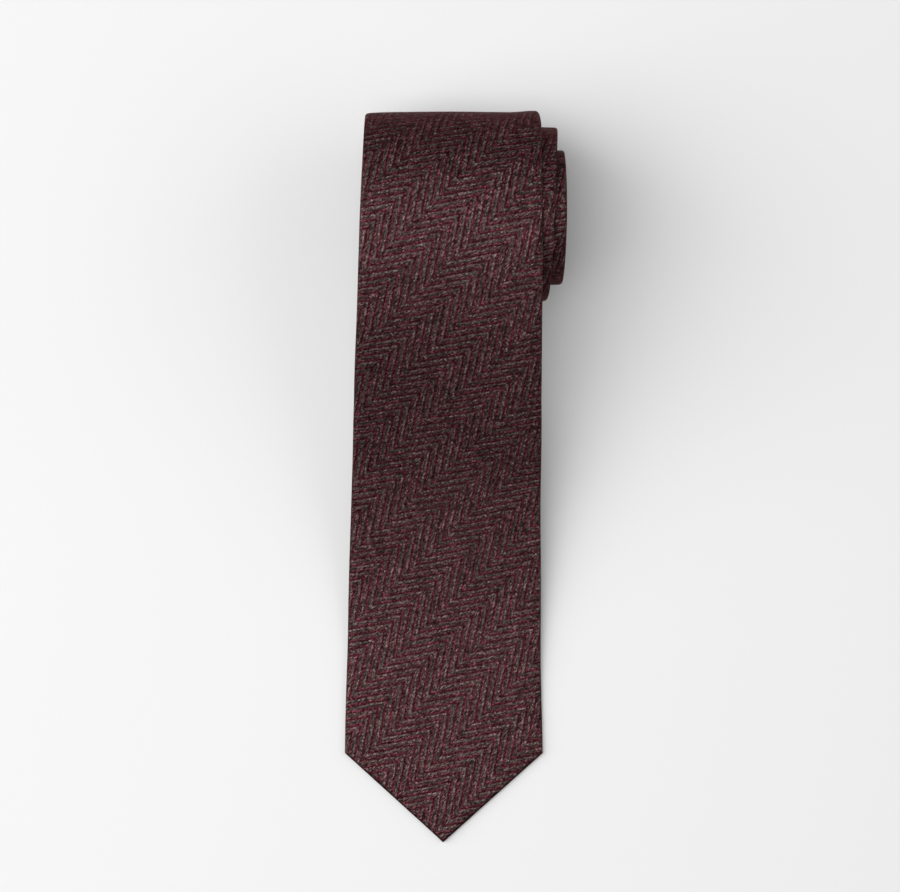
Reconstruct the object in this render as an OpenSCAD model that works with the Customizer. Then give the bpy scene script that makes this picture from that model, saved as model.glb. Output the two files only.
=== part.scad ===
// A lined, three-piece necktie, rolled up from its narrow tail, with its wide blade
// laid over the roll and out along the table to its point. Millimetres, +Z up.
//
// Every ply is drawn in the tie's own flat terms, and then carried round the roll:
//   s  distance along the tie from the blade's point
//   x  distance across the tie from its centre line, to the wearer's side or the other
//   d  depth below the face of the tie, so 0 is the face and stack is the back

/* [Finished size] */
// Length from point to point, laid flat
tie_length = 1450; // [1250:10:1600]
// Width of the blade at its corners
blade_w = 80; // [66:1:96]
// Width round the neck
neck_w = 40; // [33:1:46]
// Width of the tail at its corners
tail_w = 42; // [36:1:48]
// Loss of blade width for each millimetre of length
taper = 0.045; // [0.035:0.005:0.06]
// Depth of each pointed end, as a share of half its width
point_share = 0.91; // [0.75:0.01:1.1]

/* [Cloth] */
// Thickness of the herringbone shell cloth
shell_t = 0.45; // [0.3:0.01:0.6]
// Thickness of the wool interlining
interlining_t = 1.1; // [0.8:0.05:1.4]
// Thickness of the satin tipping
tipping_t = 0.2; // [0.1:0.01:0.3]
// Air between two plies of the tie
ply_gap = 0.03; // [0.02:0.01:0.06]
// Air between the edges of the lining and the fold of the shell
edge_gap = 0.2; // [0.15:0.05:0.5]

/* [Making up] */
// Distance from the blade's point at which its two back flaps meet
blade_open_l = 150; // [120:5:160]
// The same on the tail
tail_open_l = 95; // [80:5:120]
// Width of the hem turned to the back round each point
hem_w = 12; // [8:0.5:15]
// Distance from the blade's point to the seam between blade and neck cloth
blade_piece_l = 760; // [700:10:820]
// Length of the neck piece
neck_piece_l = 250; // [200:10:300]
// Distance from the blade's point to the join in the interlining
interlining_join_s = 905; // [860:5:950]
// Length of the blade's tipping
blade_tipping_l = 165; // [160:5:180]
// Length of the tail's tipping
tail_tipping_l = 110; // [100:5:130]
// Half of the slit between the back flaps, where the slip stitch runs
slit = 0.3; // [0.25:0.05:0.4]
// Thickness of the sewing thread
thread_t = 0.3; // [0.2:0.05:0.35]
// Length of each bar tack across the back seam
bar_tack_w = 9; // [6:0.5:12]
// Width of each bar tack along the tie
bar_tack_l = 1.5; // [1:0.1:2]

/* [Back fittings] */
// Distance from the label up to the keeper loop
keeper_rise = 7; // [4:1:9]
// Height of the keeper loop along the tie
keeper_l = 12; // [8:1:14]
// Room for the tail in the keeper loop, on each side of it
keeper_side = 0.5; // [0.5:0.1:2]
// Width over which each side of the keeper band rises off the back
keeper_ramp = 3.5; // [3:0.5:4]
// Thickness of the folded keeper band
keeper_t = 0.8; // [0.6:0.05:1]
// Free height under the middle of the keeper band, past the thickness of the tail
keeper_ease = 0.4; // [0.2:0.1:1]
// Length of each end of the keeper band that is sewn flat
keeper_tab = 4; // [3:0.5:5]
// Distance from the top of the back opening up to the blank woven label
label_rise = 7; // [4:1:9]
// Height and width of the woven label
label_l = 22; // [16:1:24]
label_w = 44; // [36:1:48]
// Height and width of the blank care tag
care_tag_l = 17; // [12:1:18]
care_tag_w = 16; // [12:1:20]
// Distance from the keeper loop up to the care tag
care_tag_rise = 1; // [1:0.5:3]
// Thickness of the label and of the tag
label_t = 0.25; // [0.2:0.01:0.3]

/* [Roll] */
// Length of the blade that lies flat on the table
flat_l = 42; // [30:1:60]
// Plan length over which the blade comes down from the roll to the table
fall_l = 213; // [190:1:220]
// Air between two turns of the coil where it is wound snugly
turn_gap = 0.2; // [0.15:0.05:0.3]
// Half width and half height of the hollow at the core
core_half_w = 4.4; // [4:0.1:6]
core_half_h = 7.4; // [6:0.1:9]
// Slack of the outer turns, sideways and upwards
slack_w = 10.5; // [6:0.5:14]
slack_h = 3; // [2:0.5:5]
// Number of outer turns that are slack
slack_turns = 2.25; // [1.5:0.25:3]
// How quickly the slack is taken up
slack_power = 1.6; // [1.2:0.1:2]
// Angle to each side of the bottom over which the roll sags flat against the table
rest_angle = 17; // [16:0.5:20]
// Sideways lean of the blade from its point to the far side of the roll
blade_lean = 3.7; // [2:0.1:5]
// Sideways walk of the turns, which shows their edges on one side
turn_walk = 24; // [16:1:28]
// Length of tie over which the turns walk sideways
walk_l = 600; // [500:10:700]

/* [Hidden] */

// Cloth colours
herringbone = [0.33, 0.21, 0.22];
wool = [0.86, 0.83, 0.76];
satin = [0.30, 0.05, 0.09];
thread = [0.22, 0.06, 0.08];
ribbon_black = [0.10, 0.09, 0.10];
ribbon_white = [0.88, 0.87, 0.84];

// Depths of the plies below the face
interlining_d = shell_t + ply_gap;
tipping_d = interlining_d + interlining_t + ply_gap;
flap_d = tipping_d + tipping_t + ply_gap + 0.01;
stack = flap_d + shell_t;
pitch = stack + turn_gap;
ease = 0.02; // clearance of something sewn on the back
sewn_t = turn_gap / 2; // sewing on the back lies flat enough for the next turn

// Gap where the cloth is cut by the fold line of the blade
fold_gap = 0.3;
// Share of the fall at which the blade lifts off the roll
fold_share = 0.15;
// Width of the blunt end of a point, before it opens out
blunt = 1.2;

turn_step = 15;   // degrees between rings on the roll
fall_steps = 20;  // stretches along the fall

// ---- The roll ------------------------------------------------------------
// n counts turns from the crest; the blade reaches the crest at n = 0.
function slack(n) = pow(min(1, n / slack_turns), slack_power);
function half_w(n, turns) = core_half_w + pitch * (turns - n) + stack + slack_w * (1 - slack(n));
function half_h(n, turns) = core_half_h + pitch * (turns - n) + stack + slack_h * (1 - slack(n));
function axle_z(turns) = half_h(0.5, turns) * cos(rest_angle);
function crest_z(turns) = axle_z(turns) + half_h(0, turns);
function axle_y(turns) = (flat_l + fall_l - half_w(0.25, turns)) / 2;

// A knot is [y, z, degrees turned]: a place on the face, and the way that it leans.
function flat_knot(turns) = [axle_y(turns) - fall_l - flat_l, stack, 0];

// The fall is the curve of a strip held level at both ends.
function fall_knot(t, turns) =
    let (h = crest_z(turns) - stack)
    [
        axle_y(turns) - fall_l * t,
        crest_z(turns) - h * t * t * (6 - 8 * t + 3 * t * t),
        -atan(12 * h * t * pow(1 - t, 2) / fall_l)
    ];

function coil_knot(n, turns) =
    let (
        w = half_w(n, turns),
        h = half_h(n, turns),
        phi = 360 * n,
        z = axle_z(turns) + h * cos(phi),
        lowest = floor(n) * pitch, // each turn rests on the one below it
        lead = atan2((h - w) * sin(phi) * cos(phi), w * pow(cos(phi), 2) + h * pow(sin(phi), 2))
    )
    z < lowest + 0.01
        ? [axle_y(turns) + w * sin(phi), lowest, 360 * floor(n) + 180]
        : [axle_y(turns) + w * sin(phi), z, phi + lead];

function knots(turns) = concat(
    [flat_knot(turns)],
    [for (i = [fall_steps:-1:1]) fall_knot(i / fall_steps, turns)],
    [for (k = [0:ceil(turns * 360 / turn_step) + 1]) coil_knot(k * turn_step / 360, turns)]
);

function chord(a, b) = norm([b[0] - a[0], b[1] - a[1]]);
function reach(ks) =
    [for (i = 0, s = 0; i < len(ks); s = s + (i + 1 < len(ks) ? chord(ks[i], ks[i + 1]) : 0), i = i + 1) s];

// The number of turns is what winds up the tie's whole length.
function wound(turns) =
    let (
        ks = knots(turns),
        ss = reach(ks),
        table = [for (i = [0:len(ks) - 1]) [i, ss[i]]]
    )
    lookup(fall_steps + 1 + turns * 360 / turn_step, table);
function solve_turns(low, high, tries) =
    tries == 0 ? (low + high) / 2
    : let (mid = (low + high) / 2)
      wound(mid) < tie_length ? solve_turns(mid, high, tries - 1) : solve_turns(low, mid, tries - 1);

turns = solve_turns(3, 16, 24);
path = knots(turns);
path_s = reach(path);
path_y = [for (i = [0:len(path) - 1]) [path_s[i], path[i][0]]];
path_z = [for (i = [0:len(path) - 1]) [path_s[i], path[i][1]]];
path_sin = [for (i = [0:len(path) - 1]) [path_s[i], sin(path[i][2])]];
path_cos = [for (i = [0:len(path) - 1]) [path_s[i], cos(path[i][2])]];

crest_s = path_s[fall_steps + 1];
far_s = path_s[fall_steps + 1 + 90 / turn_step];
fold_s = path_s[fall_steps + 1 - round(fold_share * fall_steps)];

// ---- The tie laid flat ---------------------------------------------------
blade_corner_s = point_share * blade_w / 2;
tail_corner_s = tie_length - point_share * tail_w / 2;
tail_flare_l = 300; // length over which the tail widens again

function body_half_w(s) =
    max(
        blade_w - taper * (s - blade_corner_s),
        neck_w + (tail_w - neck_w) * max(0, 1 - (tail_corner_s - s) / tail_flare_l)
    ) / 2;
function half_width(s) =
    s < blade_corner_s ? max(blunt, s / point_share)
    : s > tail_corner_s ? max(blunt, (tie_length - s) / point_share)
    : body_half_w(s);

// Half of the opening between the back flaps, which is wide only over the tipping.
hem_across = hem_w * sqrt(1 + pow(point_share, 2)) / point_share;
hem_apex = point_share * (hem_across + slit);
hem_corner = point_share * hem_across - point_share * hem_w;
function opening(e, w, open_l) = lookup(e, [
    [hem_apex, slit],
    [point_share * w / 2 + hem_corner, w / 2 - hem_w],
    [open_l, slit]
]);
function back_gap(s) =
    min(
        s < tie_length / 2 ? opening(s, blade_w, blade_open_l)
                           : opening(tie_length - s, tail_w, tail_open_l),
        max(slit, half_width(s) - 2 * shell_t)
    );

// The centre line leans along the blade, and walks sideways in the roll.
function walk(s) =
    blade_lean * min(1, s / far_s)
    + turn_walk * sin(90 * min(1, max(0, (s - far_s) / walk_l)));
leftmost = min([for (s = path_s) walk(s) - half_width(s)]);
rightmost = max([for (s = path_s) walk(s) + half_width(s)]);
function centre_x(s) = walk(s) - (leftmost + rightmost) / 2;

// ---- From flat to rolled -------------------------------------------------
function place(s, x, d) = [
    centre_x(s) + x,
    lookup(s, path_y) - d * lookup(s, path_sin),
    lookup(s, path_z) - d * lookup(s, path_cos)
];

// Rings at both ends of a stretch, at the corners of the outline, and at each knot between.
corners = [hem_apex, blade_corner_s, blade_corner_s + hem_corner, blade_open_l,
           tie_length - tail_open_l, tail_corner_s - hem_corner, tail_corner_s,
           tie_length - hem_apex];
nearest_ring = 0.05;
function rings(s0, s1, extra = corners) =
    let (inner = [for (s = concat(path_s, extra)) if (s > s0 + nearest_ring && s < s1 - nearest_ring) s])
    concat([s0], spread(sorted(inner)), [s1]);
function sorted(v) =
    len(v) < 2 ? v
    : let (p = v[floor(len(v) / 2)])
      concat(sorted([for (e = v) if (e < p) e]), [p], sorted([for (e = v) if (e > p) e]));
function spread(v) = [for (i = [0:len(v) - 1]) if (i == 0 || v[i] - v[i - 1] > nearest_ring) v[i]];

// A ply: its cross section at s is a face line and a back line of equally many [x, d] points.
module ply(stations, face, back) {
    m = len(face(stations[0]));
    rows = len(stations);
    points = [
        for (s = stations)
            let (f = face(s), b = back(s))
            for (p = concat(f, [for (i = [m - 1:-1:0]) b[i]])) place(s, p[0], p[1])
    ];
    ring = 2 * m;
    sides = [
        for (r = [0:rows - 2], j = [0:ring - 1])
            let (a = r * ring + j, b = r * ring + (j + 1) % ring)
            each [[a, a + ring, b], [b, a + ring, b + ring]]
    ];
    first_cap = [
        for (j = [0:m - 2])
            each [[j, j + 1, ring - 1 - j], [j + 1, ring - 2 - j, ring - 1 - j]]
    ];
    last = (rows - 1) * ring;
    last_cap = [for (t = first_cap) [last + t[2], last + t[1], last + t[0]]];
    polyhedron(points, concat(sides, first_cap, last_cap));
}

// A flat strip between depths d0 and d1, from x0(s) to x1(s)
module strip(stations, x0, x1, d0, d1) {
    ply(
        stations,
        function(s) [[x0(s), d0], [x1(s), d0]],
        function(s) [[x0(s), d1], [x1(s), d1]]
    );
}

// A patch of even width, off centre by x
module patch(s0, s1, x, w, d0, d1) {
    strip(rings(s0, s1, []), function(s) x - w / 2, function(s) x + w / 2, d0, d1);
}

// ---- The cloth -----------------------------------------------------------
// The shell goes across the face, round both edges and back to the slit.
module shell(s0, s1) {
    color(herringbone)
        ply(
            rings(s0, s1),
            function(s)
                let (w = half_width(s), g = back_gap(s))
                [[-g, stack], [-w, stack], [-w, 0], [w, 0], [w, stack], [g, stack]],
            function(s)
                let (w = half_width(s) - shell_t, g = back_gap(s))
                [[-g, flap_d], [-w, flap_d], [-w, shell_t], [w, shell_t], [w, flap_d], [g, flap_d]]
        );
}

lining_edge = shell_t + edge_gap; // how far the linings stay in from the tie's edges
module interlining(s0, s1) {
    color(wool)
        strip(
            rings(s0, s1),
            function(s) lining_edge - half_width(s),
            function(s) half_width(s) - lining_edge,
            interlining_d,
            interlining_d + interlining_t
        );
}

module tipping(s0, s1) {
    color(satin)
        strip(
            rings(s0, s1),
            function(s) lining_edge - half_width(s),
            function(s) half_width(s) - lining_edge,
            tipping_d,
            tipping_d + tipping_t
        );
}

seam_gap = thread_t + 2 * ply_gap;
function seam_start(s) = s - seam_gap / 2;
function seam_end(s) = s + seam_gap / 2;
neck_seam_s = blade_piece_l;
tail_seam_s = blade_piece_l + neck_piece_l;
lining_inset = 5; // the interlining and tipping stop this far short of each point

module blade_shell_lower() { shell(0, fold_s - fold_gap / 2); }
module blade_shell_upper() { shell(fold_s + fold_gap / 2, seam_start(neck_seam_s)); }
module neck_shell() { shell(seam_end(neck_seam_s), seam_start(tail_seam_s)); }
module tail_shell() { shell(seam_end(tail_seam_s), tie_length); }

module blade_interlining_lower() { interlining(lining_inset, fold_s - fold_gap / 2); }
module blade_interlining_upper() { interlining(fold_s + fold_gap / 2, seam_start(interlining_join_s)); }
module tail_interlining() { interlining(seam_end(interlining_join_s), tie_length - lining_inset); }

module blade_tipping() { tipping(lining_inset, blade_tipping_l); }
module tail_tipping() { tipping(tie_length - tail_tipping_l, tie_length - lining_inset); }

// ---- The sewing ----------------------------------------------------------
// A line of thread on the tipping, against the turned edge on both sides of the opening
stitch_clear = 3 * bar_tack_l; // the stitches stop this far short of the opening's ends
module tipping_stitches(s0, s1) {
    color(thread)
        for (side = [-1, 1])
            strip(
                rings(s0, s1),
                function(s) side * (back_gap(s) - ply_gap - thread_t / 2) - thread_t / 2,
                function(s) side * (back_gap(s) - ply_gap - thread_t / 2) + thread_t / 2,
                tipping_d + tipping_t + ease,
                tipping_d + tipping_t + ease + thread_t
            );
}
module blade_tipping_stitches() {
    tipping_stitches(hem_apex + stitch_clear, blade_open_l - stitch_clear);
}
module tail_tipping_stitches() {
    tipping_stitches(tie_length - tail_open_l + stitch_clear, tie_length - hem_apex - stitch_clear);
}

// The long slack stitch that closes the back seam runs in the slit between the flaps.
module slip_stitch(s0, s1) {
    color(thread)
        strip(
            rings(s0, s1),
            function(s) -thread_t / 2,
            function(s) thread_t / 2,
            flap_d + ply_gap,
            flap_d + ply_gap + thread_t
        );
}
module slip_stitch_lower() { slip_stitch(blade_open_l + 2 * bar_tack_l, fold_s - fold_gap / 2); }
module slip_stitch_upper() {
    slip_stitch(fold_s + fold_gap / 2, tie_length - tail_open_l - 2 * bar_tack_l);
}

module bar_tack(s) {
    color(thread)
        patch(s - bar_tack_l / 2, s + bar_tack_l / 2, 0, bar_tack_w, stack + ease, stack + ease + sewn_t);
}
module blade_bar_tack() { bar_tack(blade_open_l); }
module tail_bar_tack() { bar_tack(tie_length - tail_open_l); }

// The thread of a join in the shell cloth: across the face, and across each back flap
module shell_seam(s) {
    inset = shell_t + ply_gap;
    s0 = s - thread_t / 2;
    s1 = s + thread_t / 2;
    color(thread) {
        strip(
            [s0, s1],
            function(u) inset - half_width(u),
            function(u) half_width(u) - inset,
            ply_gap,
            shell_t - ply_gap
        );
        for (side = [0, 1])
            mirrored_strip(side, [s0, s1], slit + ply_gap, inset, flap_d + ply_gap, stack - ply_gap);
    }
}
module mirrored_strip(side, stations, near, inset, d0, d1) {
    strip(
        stations,
        function(s) side == 1 ? near : inset - half_width(s),
        function(s) side == 1 ? half_width(s) - inset : -near,
        d0,
        d1
    );
}
module blade_neck_seam() { shell_seam(neck_seam_s); }
module neck_tail_seam() { shell_seam(tail_seam_s); }

module interlining_seam() {
    color(thread)
        strip(
            [interlining_join_s - thread_t / 2, interlining_join_s + thread_t / 2],
            function(s) lining_edge - half_width(s),
            function(s) half_width(s) - lining_edge,
            interlining_d + ply_gap,
            interlining_d + interlining_t - ply_gap
        );
}

// ---- The back fittings ---------------------------------------------------
label_s = blade_open_l + label_rise;
keeper_s = label_s + label_l + keeper_rise;
care_tag_s = keeper_s + keeper_l + care_tag_rise;

// The band lies flat at its sewn ends and stands off the back between them, over the tail.
keeper_lift = stack + keeper_ease;
keeper_free_w = tail_w + 2 * keeper_side;
keeper_w = keeper_free_w + 2 * (keeper_ramp + keeper_tab);
keeper_half = concat(
    [for (i = [0:4]) let (t = i / 4) [keeper_free_w / 2 + keeper_ramp * t, keeper_lift * (1 + cos(180 * t)) / 2]],
    [[keeper_w / 2, 0]]
);
function keeper_line(depth) = concat(
    [for (i = [len(keeper_half) - 1:-1:0]) [-keeper_half[i][0], stack + ease + keeper_half[i][1] + depth]],
    [for (p = keeper_half) [p[0], stack + ease + p[1] + depth]]
);

module keeper_loop() {
    color(herringbone)
        ply(
            rings(keeper_s, keeper_s + keeper_l, []),
            function(s) keeper_line(0),
            function(s) keeper_line(keeper_t)
        );
}
module keeper_stitches() {
    margin = 0.8;
    color(thread)
        for (side = [-1, 1])
            patch(
                keeper_s + margin, keeper_s + keeper_l - margin,
                side * (keeper_w - keeper_tab) / 2, thread_t,
                stack + keeper_t + 2 * ease, stack + keeper_t + 2 * ease + sewn_t
            );
}

module flat_tag(s, l, w, tint) {
    color(tint) patch(s, s + l, 0, w, stack + ease, stack + ease + label_t);
}
module tag_stitch(s, l, x, w) {
    color(thread)
        patch(s, s + l, x, w, stack + label_t + 2 * ease, stack + label_t + 2 * ease + sewn_t);
}

module woven_label() { flat_tag(label_s, label_l, label_w, ribbon_black); }
module label_stitches() {
    stitch_l = 2.5;
    margin = 1;
    for (side = [-1, 1], s = [label_s + margin, label_s + label_l - margin - stitch_l])
        tag_stitch(s, stitch_l, side * (label_w / 2 - margin), thread_t);
}

module care_tag() { flat_tag(care_tag_s, care_tag_l, care_tag_w, ribbon_white); }
module care_tag_stitches() {
    tag_stitch(care_tag_s + care_tag_l - 2, thread_t, 0, care_tag_w - 2);
}

// ---- What is drawn -------------------------------------------------------
blade_shell_lower();
blade_shell_upper();
neck_shell();
tail_shell();
blade_interlining_lower();
blade_interlining_upper();
tail_interlining();
blade_tipping();
tail_tipping();
blade_tipping_stitches();
tail_tipping_stitches();
slip_stitch_lower();
slip_stitch_upper();
blade_bar_tack();
tail_bar_tack();
blade_neck_seam();
neck_tail_seam();
interlining_seam();
keeper_loop();
keeper_stitches();
woven_label();
label_stitches();
care_tag();
care_tag_stitches();
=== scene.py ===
# %% [markdown]
# # A herringbone necktie, rolled up from its tail
#
# A necktie is a long bag of cloth: a wool shell cut on the bias, folded round a soft interlining
# and closed down its back with one slack stitch. This one is rolled up loosely from the narrow
# tail. The wide blade lies over the top of the roll and runs down to the table.
#
# The lesson follows a tie-maker's order. Every ply is made flat, on the cutting table, in
# millimetres: x runs across the tie, y runs along it from the blade's point, and z stands up from
# its face. One function then lays each flat piece on the roll. Working flat keeps the sewing
# simple, and the weave never stretches.

from math import cos, pi, radians

import bmesh
import bpy
import numpy as np
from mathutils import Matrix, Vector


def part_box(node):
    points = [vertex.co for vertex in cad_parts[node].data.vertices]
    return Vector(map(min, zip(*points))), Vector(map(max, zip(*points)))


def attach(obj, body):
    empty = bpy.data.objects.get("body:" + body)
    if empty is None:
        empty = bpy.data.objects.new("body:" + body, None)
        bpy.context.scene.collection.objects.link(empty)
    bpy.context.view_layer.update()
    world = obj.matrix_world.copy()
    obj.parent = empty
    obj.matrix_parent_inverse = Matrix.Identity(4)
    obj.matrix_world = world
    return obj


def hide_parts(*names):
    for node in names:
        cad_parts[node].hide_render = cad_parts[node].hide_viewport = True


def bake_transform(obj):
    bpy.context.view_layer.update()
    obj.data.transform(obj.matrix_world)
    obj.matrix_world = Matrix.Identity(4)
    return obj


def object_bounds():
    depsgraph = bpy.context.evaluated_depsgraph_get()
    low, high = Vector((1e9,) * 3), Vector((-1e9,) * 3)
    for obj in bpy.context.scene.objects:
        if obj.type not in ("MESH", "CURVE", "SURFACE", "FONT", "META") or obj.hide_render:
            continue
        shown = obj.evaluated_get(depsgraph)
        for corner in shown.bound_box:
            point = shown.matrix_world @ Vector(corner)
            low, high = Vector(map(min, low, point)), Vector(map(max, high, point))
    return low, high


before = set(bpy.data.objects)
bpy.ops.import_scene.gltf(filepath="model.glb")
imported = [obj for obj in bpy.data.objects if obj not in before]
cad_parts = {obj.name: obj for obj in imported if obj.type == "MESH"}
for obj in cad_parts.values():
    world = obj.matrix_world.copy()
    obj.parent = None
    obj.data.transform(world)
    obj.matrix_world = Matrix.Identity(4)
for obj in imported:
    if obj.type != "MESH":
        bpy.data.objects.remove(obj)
cad_low, cad_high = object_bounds()
MM = 0.001  # flat sizes are in millimetres, and the scene is in metres

# %% [markdown]
# ## The camera, the table and the light
#
# The tie is seen from straight above, from about as far as a product camera on a stand. A long
# lens keeps the sides nearly parallel, though the crest of the roll still looks a little wider
# than it is, because it is nearer.

# %% Camera
CAMERA_X = -2.1 * MM
CAMERA_Y = 14.6 * MM
CAMERA_HEIGHT = 1200 * MM
camera = bpy.data.objects.new("camera", bpy.data.cameras.new("camera"))
bpy.context.scene.collection.objects.link(camera)
camera.location = (CAMERA_X, CAMERA_Y, CAMERA_HEIGHT)
camera.data.sensor_width = 36
camera.data.lens = 117.6
bpy.context.scene.camera = camera


# %% Helpers for colours and nodes
def linear(hex_code):
    """An sRGB hex colour as the linear RGBA that shader nodes use."""
    channels = [int(hex_code[i : i + 2], 16) / 255 for i in (1, 3, 5)]
    return [c / 12.92 if c <= 0.04045 else ((c + 0.055) / 1.055) ** 2.4 for c in channels] + [1.0]


def add(tree, kind, feeds=None, **settings):
    """Add a node, set its properties, and feed its inputs with values or with other nodes' outputs."""
    node = tree.nodes.new(kind)
    for name, value in settings.items():
        setattr(node, name, value)
    for socket, feed in (feeds or {}).items():
        if isinstance(feed, bpy.types.NodeSocket):
            tree.links.new(feed, node.inputs[socket])
        else:
            node.inputs[socket].default_value = feed
    return node


def new_material(name):
    """An empty material with a Principled shader on its output."""
    material = bpy.data.materials.new(name)
    material.use_nodes = True
    tree = material.node_tree
    tree.nodes.clear()
    shader = add(tree, "ShaderNodeBsdfPrincipled")
    add(tree, "ShaderNodeOutputMaterial", {"Surface": shader.outputs["BSDF"]})
    return material, tree, shader


# %% [markdown]
# The table is a plain pale sweep. A pale surround, like a light tent, gives the soft shade on
# every side. It is brighter overhead, at its two side walls and beyond the roll. A small softbox
# overhead brings out the cloth's gloss where it lies level. A broad one on the left casts the
# long soft shadow on the right, and a weaker one fills it.

# %% Table and lights
paper, _, paper_shader = new_material("matt_paper_sweep")
paper_shader.inputs["Base Color"].default_value = linear("#e9e9e9")
paper_shader.inputs["Roughness"].default_value = 0.9
paper_shader.inputs["Specular IOR Level"].default_value = 0.2

floor_bm = bmesh.new()
bmesh.ops.create_grid(floor_bm, x_segments=1, y_segments=1, size=3)
floor = bpy.data.objects.new("table", bpy.data.meshes.new("table"))
floor_bm.to_mesh(floor.data)
floor_bm.free()
floor.data.materials.append(paper)
bpy.context.scene.collection.objects.link(floor)

world = bpy.data.worlds.new("light_tent")
bpy.context.scene.world = world
world.use_nodes = True
sky_tree = world.node_tree
direction = add(sky_tree, "ShaderNodeTexCoord")
upward = add(sky_tree, "ShaderNodeSeparateXYZ", {"Vector": direction.outputs["Generated"]})
BACK_WALL = 0.5  # how bright the tent is beyond the roll, as a share of its roof
SIDE_WALLS = 0.6  # and at its two sides
roof = add(sky_tree, "ShaderNodeMath", {0: upward.outputs["Z"], 1: 2}, operation="POWER")
roof_and_back = add(
    sky_tree,
    "ShaderNodeMath",
    {0: upward.outputs["Y"], 1: BACK_WALL, 2: roof.outputs[0]},
    operation="MULTIPLY_ADD",
)
sideways = add(sky_tree, "ShaderNodeMath", {0: upward.outputs["X"], 1: 2}, operation="POWER")
tent = add(
    sky_tree,
    "ShaderNodeMath",
    {0: sideways.outputs[0], 1: SIDE_WALLS, 2: roof_and_back.outputs[0]},
    operation="MULTIPLY_ADD",
)
glow = add(
    sky_tree, "ShaderNodeMapRange", {"Value": tent.outputs[0], "To Min": 0.07, "To Max": 0.34}
)
sky_tree.links.new(glow.outputs["Result"], sky_tree.nodes["Background"].inputs["Strength"])
sky_tree.nodes["Background"].inputs["Color"].default_value = linear("#ffffff")


def softbox(name, place, size, power):
    """A square soft light at place, turned towards the middle of the tie."""
    light = bpy.data.lights.new(name, "AREA")
    light.size = size
    light.energy = power
    lamp = bpy.data.objects.new(name, light)
    lamp.location = place
    towards = (cad_low + cad_high) / 2 - lamp.location
    lamp.rotation_euler = towards.to_track_quat("-Z", "Y").to_euler()
    bpy.context.scene.collection.objects.link(lamp)


softbox("overhead_softbox", (-0.4, 0.05, 2.0), 1.1, 15.5)
softbox("left_softbox", (-1.9, 0.08, 1.4), 2.4, 50)
softbox("right_softbox", (1.9, 0.08, 1.2), 2.4, 15)
bpy.context.scene.view_settings.view_transform = "Standard"

# %% [markdown]
# ## The path of the roll
#
# Seen from the side, the tie's face follows one long line. It lies flat on the table, rises in
# the curve of a strip held level at both ends, passes over the crest, and winds inwards. The
# outer turns are slack and the inner ones are snug. Each turn is an ellipse whose half axes
# shrink as it winds.
#
# A curve object could hold the line, but a table of closely spaced points with their normals is
# easier to read from when thousands of vertices must be placed on it. The overall sizes come from
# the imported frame.

# %% Sizes of the tie and of its roll, in millimetres
TIE_LENGTH = 1450
BLADE_W = 80
NECK_W = 40
TAIL_W = 42
TAPER = 0.045  # loss of the blade's width for each millimetre of length
POINT_SHARE = 0.91  # depth of a point, as a share of half its width
TAIL_FLARE = 300  # length over which the tail widens again
BLADE_CORNER = POINT_SHARE * BLADE_W / 2
TAIL_CORNER = TIE_LENGTH - POINT_SHARE * TAIL_W / 2

SHELL_T = 0.45
INTERLINING_T = 1.1
TIPPING_T = 0.2
PLY_GAP = 0.03
INTERLINING_D = SHELL_T + PLY_GAP
TIPPING_D = INTERLINING_D + INTERLINING_T + PLY_GAP
STACK = TIPPING_D + TIPPING_T + PLY_GAP + 0.01 + SHELL_T

TURNS = 9.132
TURN_GAP = 0.2
PITCH = STACK + TURN_GAP
CORE_HALF_W = 4.4
CORE_HALF_H = 7.4
SLACK_W = 10.5
SLACK_H = 3
SLACK_TURNS = 2.25
SLACK_POWER = 1.6
REST_ANGLE = radians(17)  # how far the bottom of the roll sags flat
FALL_L = 213  # plan length of the blade's way down


def half_axes(n):
    """Half the width and height of the roll's face, n turns in from the crest."""
    tight = np.minimum(1, n / SLACK_TURNS) ** SLACK_POWER
    wound = PITCH * (TURNS - n) + STACK
    return CORE_HALF_W + wound + SLACK_W * (1 - tight), CORE_HALF_H + wound + SLACK_H * (1 - tight)


# %% Trace the path
BEND = 0.35  # how softly a turn meets what it rests on
point_y = cad_low.y / MM
axle_y = cad_high.y / MM - half_axes(0.25)[0]
axle_z = half_axes(0.5)[1] * cos(REST_ANGLE)
crest_z = axle_z + half_axes(0)[1]

flat_y = np.linspace(point_y, axle_y - FALL_L, 43)[:-1]
t = np.linspace(1, 0, 220)[:-1]
n = np.arange(0, TURNS + 0.02, 1 / 240)
wide, high = half_axes(n)
resting = np.floor(n) * PITCH
coil_z = resting + BEND * np.logaddexp(0, (axle_z + high * np.cos(2 * pi * n) - resting) / BEND)

path_y = np.concatenate([flat_y, axle_y - FALL_L * t, axle_y + wide * np.sin(2 * pi * n)])
path_z = np.concatenate(
    [np.full(len(flat_y), STACK), crest_z - (crest_z - STACK) * t**2 * (6 - 8 * t + 3 * t**2), coil_z]
)
path_s = np.concatenate([[0], np.cumsum(np.hypot(np.diff(path_y), np.diff(path_z)))])
along_y = np.gradient(path_y, path_s)
along_z = np.gradient(path_z, path_s)
normal_y = -along_z / np.hypot(along_y, along_z)
normal_z = along_y / np.hypot(along_y, along_z)


def at_turn(turns_in):
    """Distance along the tie at which it has wound that many turns from the crest."""
    return path_s[len(flat_y) + len(t) + round(turns_in * 240)]


crest_s = at_turn(0)
far_s = at_turn(0.25)
bottom_s = at_turn(0.5)
print("path: crest at", round(crest_s, 1), "mm, length", round(path_s[-1], 1), "mm")

# %% [markdown]
# ## The tie laid flat
#
# The blade narrows evenly towards the neck, and the tail widens again. Each end is a point. The
# turns walk to the right as they wind, which is why their edges show beside the blade.

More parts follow.
